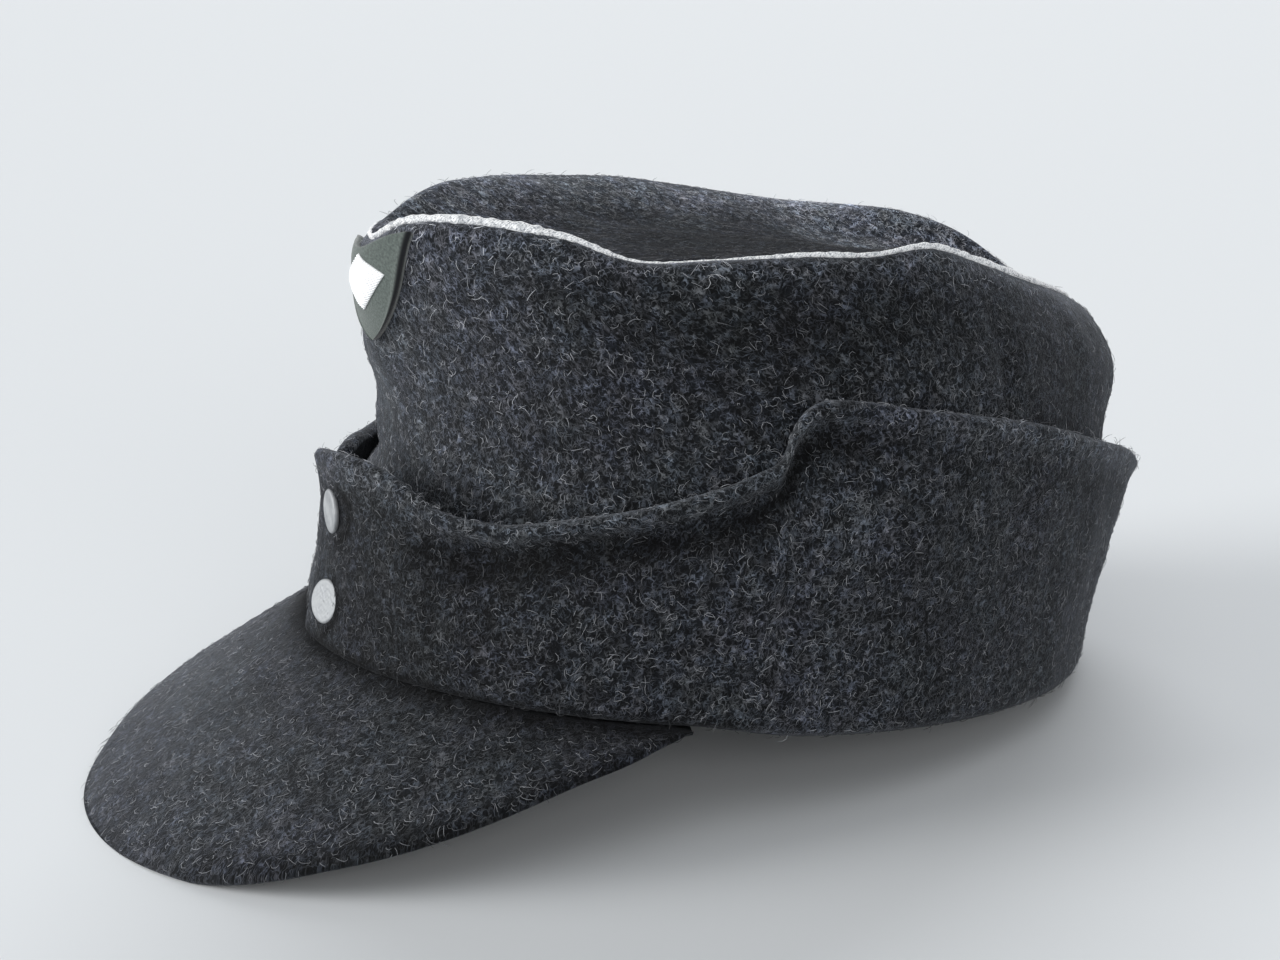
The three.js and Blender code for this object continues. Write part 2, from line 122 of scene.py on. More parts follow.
# Unevenness of each piece: the height and spacing of its waves, and their seeds
WAVES = {
    "crown_side": ((0.5, 46, 3), (0.22, 15, 5)),
    "crown_top": ((0.55, 50, 11), (0.22, 16, 12)),
    "crown_piping": ((0.08, 4, 21), (0.1, 1.6, 22)),
    "turn_up": ((0.35, 42, 31), (0.2, 13, 32)),
    "peak": ((0.25, 34, 41), (0.12, 11, 42)),
    "button": ((0.03, 0.8, 51),),
}


def mix(a, b, t):
    return a + (b - a) * t


def ease(t):
    """A smooth step from 0 to 1."""
    s = np.clip(t, 0, 1)
    return s * s * (3 - 2 * s)


def bell(offset, width):
    return np.exp(-((offset / width) ** 2))


def wrap(bearing):
    """A bearing brought to -180..180."""
    return (np.asarray(bearing, float) + 180) % 360 - 180


def all_round(count):
    """Equally spaced bearings once round the cap."""
    return np.linspace(-180, 180, count + 1)[:-1]


def vector(x, y, z):
    """Points from their three coordinates."""
    return np.stack(np.broadcast_arrays(x, y, z), axis=-1).astype(float)


def unit(vectors):
    return vectors / np.linalg.norm(vectors, axis=-1, keepdims=True)


def curve(keys, values):
    """A smooth curve through a table's rows."""
    slopes = np.gradient(values)
    slopes[1:-1] = (values[2:] - values[:-2]) / (keys[2:] - keys[:-2])
    slopes[0] = (values[1] - values[0]) / (keys[1] - keys[0])
    slopes[-1] = (values[-1] - values[-2]) / (keys[-1] - keys[-2])

    def read(at):
        i = np.clip(np.searchsorted(keys, at, side="right") - 1, 0, len(keys) - 2)
        span = keys[i + 1] - keys[i]
        t = np.clip((at - keys[i]) / span, 0, 1)
        t2, t3 = t * t, t * t * t
        start = (2 * t3 - 3 * t2 + 1) * values[i] + (t3 - 2 * t2 + t) * span * slopes[i]
        return start + (3 * t2 - 2 * t3) * values[i + 1] + (t3 - t2) * span * slopes[i + 1]

    return read


def around(rows, left, right):
    """Left and right columns of a table as one closed curve round the cap."""
    b, l, r = rows["bearing"], rows[left], rows[right]
    keys = np.concatenate([[b[-2] - 360, -180], -b[-2:0:-1], b, [360 - b[-2]]])
    values = np.concatenate([[l[-2], l[-1]], r[-2:0:-1], l, [r[-2]]])
    read = curve(keys, values)
    return lambda bearing: read(wrap(bearing))


# How far the turn-up's step lies below the table's, because its cloth is soft
STEP_DROP = 3.0 * bell(EDGE["bearing"] - 70.5, 2.4) + 0.9 * bell(EDGE["bearing"] - 82, 12)
SOFT_EDGE = {side: EDGE[side] - STEP_DROP for side in ("left", "right")}

SECTION = {name: curve(SECTIONS["up"], SECTIONS[name]) for name in SECTIONS if name != "up"}
seam_height = around(SEAM, "left", "right")
edge_height = around({**EDGE, **SOFT_EDGE}, "left", "right")
edge_stand = around(EDGE, "stand", "stand")


def plain_crown(bearing, up):
    """The crown's outer face before its dents: an egg-shaped oval at every height."""
    s, c = np.sin(bearing * DEG), np.cos(bearing * DEG)
    reach = np.where(c > 0, SECTION["front"](up), SECTION["back"](up))
    pinch = np.where(c > 0, SECTION["front_pinch"](up), SECTION["back_pinch"](up)) * c * c
    return vector(SECTION["half"](up) * s * (1 - pinch), -reach * c, seam_height(bearing) * up)


def outward(bearing):
    """The level direction out from the cap, square to the base oval."""
    half, back = SECTIONS["half"][0], SECTIONS["back"][0]
    return unit(vector(np.sin(bearing * DEG) / half, -np.cos(bearing * DEG) / back, 0))


def crown_face(bearing, up):
    """The crown's outer face with its dents and swellings."""
    depth = 0
    for at, rise_at, spread, rise, fold in zip(*FOLDS.values()):
        depth = depth + fold * bell(wrap(bearing - at), spread) * bell(up - rise_at, rise)
    return plain_crown(bearing, up) + outward(bearing) * np.asarray(depth)[..., None]


def face_normal(face, bearing, up):
    """The outward normal of a face given by bearing and up."""
    across = face(bearing + 0.5, up) - face(bearing - 0.5, up)
    rise = face(bearing, up) - face(bearing, up - 0.005)
    return unit(np.cross(across, rise))


def top_face(bearing, spread):
    """The top panel, hung between the seam's two sides, sagging in its middle and puffed on the right."""
    seam = crown_face(bearing, 1.0)
    x, y = seam[..., 0] * spread, seam[..., 1] * spread
    reach = np.where(y < 0, SECTIONS["front"][-1], SECTIONS["back"][-1])
    station = np.arccos(np.clip(-y / reach, -1, 1)) / DEG
    side = np.clip(x / np.maximum(plain_crown(station, 1.0)[..., 0], 1), -1, 1)
    across = 1 - side * side
    crest = TOP["crest"] * bell(side - TOP["crest_at"], TOP["crest_width"]) * np.sqrt(across)
    puff = (crest - TOP["sag"] * across) * (1 - (y / reach) ** TOP["squareness"])
    return vector(x, y, mix(seam_height(-station), seam_height(station), (side + 1) / 2) + puff)


def hem(bearing):
    """Height of the lower edges above the base plane: raised over the peak."""
    return HEM["over"] * ease((HEM["reach"] - np.abs(wrap(bearing))) / HEM["fade"])


def settle(points):
    """Brings the lowest cloth onto the floor on which the cap rests."""
    s, c = math.sin(REST["tilt"] * DEG), math.cos(REST["tilt"] * DEG)
    above = c * points[..., 2] - s * points[..., 1] - REST["floor"]
    pull = REST["settle"] * (1 - ease((above - REST["settle"]) / REST["fade"]))
    settled = points.copy()
    settled[..., 2] -= np.minimum(above, pull) / c
    return settled


def resting(points):
    """From the cap's own frame in millimetres to the part's frame in metres."""
    s, c = math.sin(REST["tilt"] * DEG), math.cos(REST["tilt"] * DEG)
    x, y, z = points[..., 0], points[..., 1], points[..., 2]
    dx, dy, dz = REST["place"]
    return vector(x + dx, c * y + s * z + dy, c * z - s * y + dz) * MM


def ripple(points, size, seed, waves=14):
    """Smooth irregular swelling of about -1 to 1, with humps about `size` millimetres apart."""
    rng = np.random.default_rng(seed)
    total = 0
    for _ in range(waves):
        direction = rng.normal(size=3)
        along = points @ (direction / np.linalg.norm(direction))
        pace = 2 * math.pi / size * rng.uniform(0.5, 1.1)
        total = total + np.sin(along * pace + rng.uniform(0, 6.28))
    return total / math.sqrt(waves)


def uneven(points, piece):
    """How far a piece's surface swells at points on it."""
    return sum(height * ripple(points, size, seed) for height, size, seed in WAVES[piece])


def mesh_object(name, points, faces, cloth=None, **looks):
    """A smooth-shaded mesh piece in metres. cloth holds each face corner's place on the flat cloth in
    millimetres, and looks are values of each vertex, such as its nearness to an edge or its painted shade."""
    mesh = bpy.data.meshes.new(name)
    mesh.from_pydata(points.reshape(-1, 3).tolist(), [], faces)
    mesh.polygons.foreach_set("use_smooth", np.ones(len(mesh.polygons), bool))
    if cloth is not None:
        layer = mesh.attributes.new("cloth", "FLOAT_VECTOR", "CORNER")
        flat = np.zeros((len(cloth), 3))
        flat[:, :2] = cloth
        layer.data.foreach_set("vector", flat.ravel())
    for look, values in looks.items():
        layer = mesh.attributes.new(look, "FLOAT", "POINT")
        layer.data.foreach_set("value", np.asarray(values, float).ravel())
    mesh.validate()
    mesh.update()
    piece = bpy.data.objects.new(name, mesh)
    bpy.context.scene.collection.objects.link(piece)
    return piece


def skin(name, rings, looped, cloth, edge=None, shade=None):
    """Skins rings of equally many points into one closed piece. Each ring runs up the outer side of the
    cloth and back down the inner side. cloth has one more ring and one more point than rings has. edge
    is how near each point is to an edge, where the wool is paler, as wear and as painted highlight, and
    the felt darker; shade is the painted light and shade that darken or lighten the wool there."""
    count, size = rings.shape[:2]
    r, k = np.meshgrid(np.arange(count if looped else count - 1), np.arange(size), indexing="ij")
    r2, k2 = (r + 1) % count, (k + 1) % size
    quads = np.stack([r * size + k, r2 * size + k, r2 * size + k2, r * size + k2], axis=-1).reshape(-1, 4)
    corners = np.stack([cloth[r, k], cloth[r + 1, k], cloth[r + 1, k + 1], cloth[r, k + 1]], axis=-2)
    corners = corners.reshape(-1, 2)
    if not looped:
        side = np.arange(size // 2 - 1)
        first = np.stack([side, side + 1, size - 2 - side, size - 1 - side], axis=-1)
        last = first[:, ::-1] + (count - 1) * size
        quads = np.concatenate([quads, first, last])
        flat = cloth[:-1, :-1].reshape(-1, 2)
        corners = np.concatenate([corners, flat[first.ravel()], flat[last.ravel()]])
    edge = np.zeros(rings.shape[:2]) if edge is None else edge
    shade = np.ones(rings.shape[:2]) if shade is None else shade
    return mesh_object(name, resting(rings), quads.tolist(), corners, edge=edge, shade=shade)


def closed(rings):
    """Rings with the first of them, and then each ring's first point, repeated at the end."""
    rings = np.concatenate([rings, rings[:1]])
    return np.concatenate([rings, rings[:, :1]], axis=1)


def lengths(points, axis):
    """Distance travelled along an axis of a grid of points, from its first row."""
    steps = np.linalg.norm(np.diff(points, axis=axis), axis=-1)
    travelled = np.cumsum(steps, axis=axis)
    pad = [(0, 0)] * steps.ndim
    pad[axis] = (1, 0)
    return np.pad(travelled, pad)


def flat_places(rings):
    """Places on the flat cloth of a closed or open band of rings, in millimetres."""
    wrapped = closed(rings)
    along = lengths(wrapped[:, rings.shape[1] // 4], 0)
    down = lengths(wrapped, 1)
    return np.stack([np.broadcast_to(along[:, None], down.shape), down], axis=-1)


def rounded(outer, inner, steps=3):
    """Rows of points that round a cloth's cut or folded edge off, from its outer to its inner face."""
    return np.stack([mix(outer, inner, (1 - math.cos(math.pi * i / steps)) / 2) for i in range(1, steps)], 1)


def arch(outer, inner, rise, steps):
    """Rows of points that carry a folded edge over in a half round, from its outer to its inner face."""
    middle, half = (outer + inner) / 2, (outer - inner) / 2
    turn = np.pi * np.arange(1, steps) / steps
    across = middle[:, None] + half[:, None] * np.cos(turn)[:, None]
    return across + vector(0, 0, rise * np.sin(turn))


# The loose hairs: the stretches of each, its radius, the spread of its length and how much it curls
NAP = {"steps": 3, "radius": 0.055, "shortest": 1.2, "longest": 3.4, "curl": 2.4}


def tubes(paths, normals, radius):
    """Points of thin three-sided tubes along paths, half as thick at their far ends."""
    ahead = unit(np.gradient(paths, axis=1))
    u = unit(np.cross(ahead, normals[:, None]))
    v = np.cross(ahead, u)
    thick = np.full(paths.shape[1], radius)
    thick[-1] *= 0.5
    corner = 2 * math.pi * np.arange(3) / 3
    ring = np.cos(corner)[:, None] * u[:, :, None] + np.sin(corner)[:, None] * v[:, :, None]
    return paths[:, :, None] + ring * thick[:, None, None]


def tube_faces(count, steps):
    """Faces of that many closed three-sided tubes of so many stretches."""
    r, k = np.meshgrid(np.arange(steps) * 3, np.arange(3), indexing="ij")
    k2 = (k + 1) % 3
    sides = np.stack([r + k, r + k2, r + 3 + k2, r + 3 + k], axis=-1).reshape(-1, 4)
    size = 3 * (steps + 1)
    ends = np.array([[2, 1, 0], [size - 3, size - 2, size - 1]])
    starts = np.arange(count)[:, None, None] * size
    return (starts + sides).reshape(-1, 4).tolist() + (starts + ends).reshape(-1, 3).tolist()


def nap(name, grid, light, count, seed, stand, heading=None):
    """Loose curled hairs that stand off a face, each a thin closed tube. grid is the face's points, its rows
    going round the cap and its columns up or inwards. light is the painted light and shade of the wool at
    each of them, stand scales how far the hairs stand off, and heading, where given, is the way that they
    lie."""
    rng = np.random.default_rng(seed)
    a, b, c, d = grid[:-1, :-1], grid[1:, :-1], grid[1:, 1:], grid[:-1, 1:]
    cross = np.cross(c - a, d - b)
    area = np.linalg.norm(cross, axis=-1)
    i, j = np.unravel_index(rng.choice(area.size, count, p=(area / area.sum()).ravel()), area.shape)
    s, t = rng.random((2, count, 1))
    root = mix(mix(a[i, j], b[i, j], s), mix(d[i, j], c[i, j], s), t)
    normal = unit(cross[i, j])
    across = unit(b[i, j] - a[i, j])
    rise = np.cross(normal, across)
    turn = rng.uniform(0, 2 * math.pi, count) if heading is None else heading + rng.normal(0, 0.7, count)
    length = rng.uniform(NAP["shortest"], NAP["longest"], count)
    curl = rng.normal(0, NAP["curl"], count)
    lift = stand * (rng.uniform(0.05, 0.38, count) + 0.4 * (rng.random(count) > 0.96))
    tone = rng.uniform(0.3, 1.0, count) ** 1.6
    steps = np.arange(NAP["steps"] + 1) / NAP["steps"]
    way = turn[:, None] + curl[:, None] * steps
    strides = np.cos(way)[..., None] * across[:, None] + np.sin(way)[..., None] * rise[:, None]
    path = root[:, None] + np.cumsum(strides, axis=1) * (length / NAP["steps"])[:, None, None]
    height = lift[:, None] * np.sin(math.pi * (0.1 + 0.75 * steps)) - 0.15 * (steps == 0)
    points = resting(tubes(path + normal[:, None] * height[..., None], normal, NAP["radius"]))
    above_floor = (points[..., 2] > 0).all(axis=(1, 2))
    points, tone, light = points[above_floor], tone[above_floor], light[i, j][above_floor]
    faces = tube_faces(len(points), NAP["steps"])
    size = 3 * (NAP["steps"] + 1)
    return mesh_object(name, points, faces, tone=np.repeat(tone, size), shade=np.repeat(light, size))


# A short crease in the crown's side, a swelling of the cloth over the piping, how it is drawn in at the
# seam, and the lip that it makes below
CREASE = {"bearing": 104.0, "width": 1.6, "up": 0.77, "rise": 0.07, "depth": -0.9}
SWELL = {"bearing": 62.0, "width": 9.0, "height": 1.1, "below": 2.0, "deep": 4.0}
TUCK = {"out": -0.3, "width": 0.9}
LIP = {"out": 0.6, "below": 2.6, "width": 2.2}


def crown_cloth(bearing, up):
    """The crown's outer face with the small unevenness of soft cloth, drawn in at the seam."""
    base = crown_face(bearing, up)
    below = (1 - up) * seam_height(bearing)
    soft = uneven(base, "crown_side") * ease((up - 0.3) / 0.25) * ease(below / 8)
    tuck = TUCK["out"] * bell(below, TUCK["width"])
    lip = LIP["out"] * bell(below - LIP["below"], LIP["width"])
    crease = CREASE["depth"] * bell(wrap(bearing - CREASE["bearing"]), CREASE["width"])
    crease = crease * bell(up - CREASE["up"], CREASE["rise"])
    swell = SWELL["height"] * bell(wrap(bearing - SWELL["bearing"]), SWELL["width"])
    swell = swell * bell(below - SWELL["below"], SWELL["deep"])
    out = (soft + tuck + lip + crease + swell)[..., None]
    return base + face_normal(crown_face, bearing, up) * out


# How far apart the piping's threads lie along it, and its own thickness round the cap, thinner where
# the cloth swells over it
TWIST = 3.4
CORD = table(
    "bearing radius",
    (-180, 0.9), (-80, 0.85), (-60, 0.55), (-10, 0.6), (2, 0.85), (20, 1.05), (38, 1.1), (48, 0.8), (54, 0.5),
    (66, 0.45), (76, 0.65), (88, 0.6), (93, 0.75), (108, 0.9), (130, 0.7), (150, 0.6), (180, 0.9),
)


def cord_radius(bearing):
    return np.interp(bearing, CORD["bearing"], CORD["radius"])


def beside_cord(bearing):
    """How near the middle of the piping the cloth's edges come, in millimetres."""
    return 0.4 * cord_radius(bearing)


# Painted shade on the crown's side, painted light where below 0: where, how wide, how far down, how deep, how
# dark
SIDE_SHADE = table(
    "bearing spread below deep dark",
    (66, 16, 14, 8, 0.25), (84, 22, 17, 9, 0.40), (116, 18, 20, 40, 0.42), (-78, 25, 16, 10, 0.30),
    (4, 16, 5, 14, -1.0), (26, 14, 6, 14, -0.6), (16, 26, 40, 60, -0.12), (146, 14, 25, 50, 0.35),
)


def side_painted_light(bearing, below):
    """Painted light and shade on the crown's side: painted shade in its folds, painted light along the seam.
    """
    light = 1 + 0.45 * bell(below - 2.5, 3)
    for at, spread, middle, deep, dark in zip(*SIDE_SHADE.values()):
        light = light - dark * bell(wrap(bearing - at), spread) * bell(below - middle, deep)
    return light


def crown_side():
    bearing = all_round(420)
    low = (hem(bearing) + CLOTH / 2) / seam_height(bearing)
    high = 1 - beside_cord(bearing) / seam_height(bearing)
    rows = np.linspace(0, 1, 84)
    up = mix(low[:, None], high[:, None], rows[None, :] ** 0.9)
    b = np.broadcast_to(bearing[:, None], up.shape)
    outer = crown_cloth(b, up)
    inner = outer - face_normal(crown_face, b, up) * CLOTH
    rim = rounded(outer[:, -1], inner[:, -1])
    foot = rounded(inner[:, 0], outer[:, 0])
    rings = np.concatenate([outer, rim, inner[:, ::-4], foot], axis=1)
    shade = np.ones(rings.shape[:2])
    # The outer face carries the painted light and shade
    shade[:, : len(rows)] = side_painted_light(b, (1 - up) * seam_height(b))
    dress_nap("crown_side_nap", outer, shade, count=8000, seed=61, stand=0.7)
    return skin("crown_side_wool", rings, True, flat_places(rings), shade=shade)


# Painted light and shade on the top, from the wearer's right, where it swells, to their left, where it sinks
TOP_SHADE = table(
    "side light",
    (-65, 0.9), (-58, 1.1), (-51, 1.8), (-45, 2.0), (-40, 1.45), (-34, 0.85),
    (-27, 0.62), (-18, 0.42), (-5, 0.3), (52, 0.32), (65, 0.5),
)
# How much painted light is added towards the front and the back
TOP_ENDS_PAINTED_LIGHT = table(
    "back light",
    (-101, 1.2), (-82, 1.2), (-66, 0.9), (-43, 0.25), (-20, 0.0),
    (24, 0.0), (45, 0.9), (55, 1.2), (96, 1.1),
)


def top_painted_light(points):
    """Painted light and shade on the top: painted shade deepest in its hollow, painted light on its swell and
    towards its ends.
    """
    x, y = points[..., 0], points[..., 1]
    sunk = ease(1 - (x + 10) / 40) * ease((x + 65) / 12)
    ends = np.interp(y, TOP_ENDS_PAINTED_LIGHT["back"], TOP_ENDS_PAINTED_LIGHT["light"])
    return np.interp(x, TOP_SHADE["side"], TOP_SHADE["light"]) + sunk * ends


def crown_top():
    bearing = all_round(420)
    seam = crown_face(bearing, 1.0)
    reach = np.hypot(seam[:, 0], seam[:, 1])
    outermost = 1 - beside_cord(bearing) / reach
    inwards = np.linspace(0, 1, 56) ** 0.85
    innermost = 0.004
    spread = outermost[:, None] * (1 - inwards[None, :] * (1 - innermost))
    b = np.broadcast_to(bearing[:, None], spread.shape)
    flat = top_face(b, spread)
    inside = (outermost[:, None] - spread) * reach[:, None]
    lip = 0.8 * bell(inside - 3.4, 3) - 0.2 * bell(inside, 0.9)
    upper = flat + vector(0, 0, uneven(flat, "crown_top") * ease(inside / 10) + lip)
    lower = upper - UP * CLOTH
    rim = rounded(lower[:, 0], upper[:, 0])
    rings = np.concatenate([upper, lower[:, ::-3], rim], axis=1)
    shade = np.ones(rings.shape[:2])
    shade[:, : len(inwards)] = top_painted_light(flat)
    # The top's hairs carry its painted light and shade, a little darker
    dress_nap("crown_top_nap", upper, 0.8 * shade, count=4000, seed=62, stand=0.45)
    return skin("crown_top_wool", rings, True, closed(rings)[..., :2], shade=shade)


def crown_piping():
    """A twisted cord of three threads along the top seam."""
    bearing = all_round(1200)
    turn = np.linspace(0, 2 * math.pi, 15)[:-1]
    middle = crown_face(bearing, 1.0)
    along = np.linalg.norm(middle - np.roll(middle, 1, axis=0), axis=1).cumsum()
    threads = 0.07 * np.sin(turn[None, :] * 3 + along[:, None] * (2 * math.pi / TWIST))
    thick = cord_radius(bearing)[:, None] * (1 + threads + uneven(middle, "crown_piping")[:, None])
    rings = middle[:, None] + outward(bearing)[:, None] * (thick * np.cos(turn))[..., None]
    rings = rings + UP * (thick * np.sin(turn))[..., None]
    return skin("crown_piping_cord", rings, True, flat_places(rings))


# The turn-up's rolled upper edge, the hollow under it, its belly and its turned-in lower edge
ROLL = {"out": 1.5, "below": 1.9, "width": 1.9, "rear": 0.35}
HOLLOW = {"out": -2.8, "below": 8.5, "width": 5.2, "rear": 0.1}
BELLY = {"out": 1.0, "below": 30.0, "width": 11.0, "rear": 0.2}
FOOT = {"tuck": -3.0, "height": 5.0}
# The right end's edge where it passes under the lap, and the hump beside it
UNDER_LAP = {"from": 330.5, "over": 4.5, "drop": 3.3, "hump": 1.0, "at": 326.5, "width": 3.5}
# The line sewn down from the step
SEAM_LINE = {"bearing": 71.7, "width": 0.5, "depth": -0.45, "length": 24, "pale": 0.4, "pale_length": 20}
# Painted shade in the hollow, painted shadow along the foot and painted shadow round the buttons
HOLLOW_SHADE = {"dark": 0.72, "below": 9.5, "width": 5.5}
FOOT_SHADE = {"dark": 0.75, "height": 4.0, "line_dark": 0.6, "line_height": 1.6}
BUTTON_SHADE = {"dark": 0.5, "side": 2.2, "width": 1.3}
# How light the turn-up is below its rolled edge, where it is turned from the light or towards it
TURN_SHADE = table(
    "bearing light",
    (-180, 1.0), (-40, 1.0), (-10, 0.7), (0, 0.56), (10, 0.47), (20, 0.5), (30, 0.61), (40, 0.76),
    (50, 0.9), (60, 1.0), (78, 1.0), (92, 0.66), (120, 0.6), (150, 0.85), (180, 1.0),
)


def lap_lift(along):
    """How far the turn-up's left end is lifted to pass over its right end."""
    return TURN_UP["overlap"] * ease(1 - (along - TURN_UP["lap_from"]) / TURN_UP["lap_over"])


def turn_up_point(along, up, through):
    """A point of the turn-up before its small folds. along is a bearing that goes on past 360 under the
    lap, up a part of the height and through a part of the thickness."""
    bearing = wrap(along)
    change = UNDER_LAP["hump"] * bell(along - UNDER_LAP["at"], UNDER_LAP["width"])
    change = change - UNDER_LAP["drop"] * ease((along - UNDER_LAP["from"]) / UNDER_LAP["over"])
    height = mix(hem(bearing), edge_height(bearing), up) + change * up
    stand = mix(TURN_UP["clear"], edge_stand(bearing), up ** TURN_UP["bulge"])
    flare = TURN_UP["flare"] * ease((up - TURN_UP["flare_from"]) / (1 - TURN_UP["flare_from"]))
    flare = flare * ease((TURN_UP["flare_bearing"] - along) / TURN_UP["flare_fade"])
    off = stand + lap_lift(along) + TURN_UP["wall"] * through + flare
    base = plain_crown(bearing, height / seam_height(bearing))
    return base + outward(bearing) * np.asarray(off)[..., None]


def seam_line(along):
    return bell(wrap(along - SEAM_LINE["bearing"]), SEAM_LINE["width"])


def turn_up_folds(along, above, below, rear):
    """How far the turn-up's outer face swells or sinks, by its height above its foot and below its edge."""
    aside = np.abs(wrap(along))
    folds = 0
    for wave in (ROLL, HOLLOW, BELLY):
        folds = folds + wave["out"] * bell(below - wave["below"], wave["width"]) * mix(1, wave["rear"], rear)
    tuck = FOOT["tuck"] * (1 - np.sqrt(1 - np.clip(1 - above / FOOT["height"], 0, 1) ** 2))
    tuck = tuck * mix(0.35, 1.0, ease((aside - 10) / 22))
    sewn = SEAM_LINE["depth"] * seam_line(along) * (above < SEAM_LINE["length"])
    return folds * ease((aside - 14) / 16) + sewn + tuck


def turn_up_painted_light(along, outer, above, below, rear):
    """Painted light and shade on the turn-up's outer face."""
    aside = np.abs(wrap(along))
    # Painted shade in the hollow under the rolled edge, and painted shadow along the foot and its lower edge
    dark = HOLLOW_SHADE["dark"] * bell(below - HOLLOW_SHADE["below"], HOLLOW_SHADE["width"])
    dark = dark * ease((aside - 14) / 16) * mix(1, 0.2, rear)
    foot = FOOT_SHADE["dark"] * ease(1 - above / FOOT_SHADE["height"]) * ease((72 - aside) / 6)
    line = FOOT_SHADE["line_dark"] * ease(1 - above / FOOT_SHADE["line_height"])
    light = 1 - np.maximum(np.maximum(dark, foot), line)
    turned = np.interp(wrap(along), TURN_SHADE["bearing"], TURN_SHADE["light"])
    light = light * mix(1.0, turned, ease((below - 3) / 8))
    light = light + SEAM_LINE["pale"] * seam_line(along) * (above < SEAM_LINE["pale_length"])
    x, y, z = outer[..., 0], outer[..., 1], outer[..., 2]
    # A ring of painted shadow round each button
    for place in BUTTONS.values():
        away = np.hypot(x - BUTTON_SHADE["side"], (z - place["dark"]) * 0.9) - BUTTON["radius"]
        ring = BUTTON_SHADE["dark"] * bell(away - 0.2, BUTTON_SHADE["width"])
        light = light - ring * (y < 0) * ease(x / 4)
    return np.maximum(light, 0.15)


def turn_up():
    steep = np.linspace(56, 80, 40)
    stations = np.concatenate([np.linspace(TURN_UP["start"], TURN_UP["end"], 440), steep, 360 - steep])
    stations = np.unique(np.round(stations, 2))
    round_off = TURN_UP["wall"] / 2
    rows = np.linspace(0, 1, 56)
    a = np.broadcast_to(stations[:, None], (len(stations), len(rows)))
    u = rows[None, :] * (1 - round_off / edge_height(stations))[:, None]
    below = (1 - u) * edge_height(a)
    above = u * (edge_height(a) - hem(a))
    rear = ease((np.abs(wrap(a)) - 74) / 12)
    outer = turn_up_point(a, u, 1.0)
    inner = turn_up_point(a, u, 0.0)
    shift = turn_up_folds(a, above, below, rear) + uneven(outer, "turn_up") * ease(u / 0.06)
    outer = outer + outward(wrap(a)) * shift[..., None]
    top = arch(outer[:, -1], inner[:, -1], round_off + 0.3, 9)
    foot = rounded(inner[:, 0], outer[:, 0], 4)
    rings = settle(np.concatenate([outer, top, inner[:, ::-1], foot], axis=1))
    rings = rings[:, : 2 * (rings.shape[1] // 2)]
    outside, over = len(rows), len(rows) + top.shape[1]
    edge = np.zeros(rings.shape[:2])
    # The rolled edge is painted paler, as wear and as painted highlight
    edge[:, :outside] = bell(below - 1.5, 2.4)
    edge[:, outside:over] = 1
    shade = np.ones(rings.shape[:2])
    shade[:, :outside] = turn_up_painted_light(a, outer, above, below, rear)
    # Painted shade on the inner face and on the turned-in foot
    shade[:, over:] = 0.45
    shade[:, -3:] = 0.3
    dress_nap("turn_up_nap", np.concatenate([outer, top], axis=1), shade, count=9000, seed=63, stand=0.65)
    return skin("turn_up_wool", rings, False, flat_places(rings), edge, shade)


def peak_length(bearing):
    """How far the peak stands out from its seam, with a little more near its left corner."""
    length = PEAK["length"] * np.maximum(1 - (bearing / PEAK["spread"]) ** 2, 0) ** PEAK["taper"]
    return length + PEAK["corner"] * bell(bearing - PEAK["corner_at"], PEAK["corner_width"])


def peak_thick(bearing):
    return mix(PEAK["thick_ends"], PEAK["thick_middle"], np.sqrt(peak_length(bearing) / PEAK["length"]))


def peak_point(bearing, part):
    """A point of the peak's upper face, by the part of its length out from its seam line."""
    half = SECTIONS["half"][0] + TURN_UP["clear"] + TURN_UP["wall"]
    back = SECTIONS["back"][0] + TURN_UP["clear"] + TURN_UP["wall"]
    seam = vector(half * np.sin(bearing * DEG), -back * np.cos(bearing * DEG), 0)
    slope = (PEAK["slope"] + PEAK["side_slope"] * np.sin(bearing * DEG) ** 2) * DEG
    length = peak_length(bearing)
    arched = PEAK["arch"] * np.sin(math.pi * part) * (length / PEAK["length"])
    side = np.sin(bearing / PEAK["spread"] * math.pi / 2)
    lean = part * (PEAK["twist"] * side + PEAK["bow"] * side**2)
    rise = mix(hem(bearing), peak_thick(bearing), part) - GAP + arched + lean
    point = seam + outward(bearing) * (part * length * np.cos(slope))[..., None]
    point[..., 2] = rise - part * length * np.sin(slope)
    return point


# The peak's rounded rim: each row's height from the lower to the upper face, and its reach outwards
PEAK_RIM = table("high out", (0.15, 0.75), (0.45, 1.0), (0.8, 0.62))


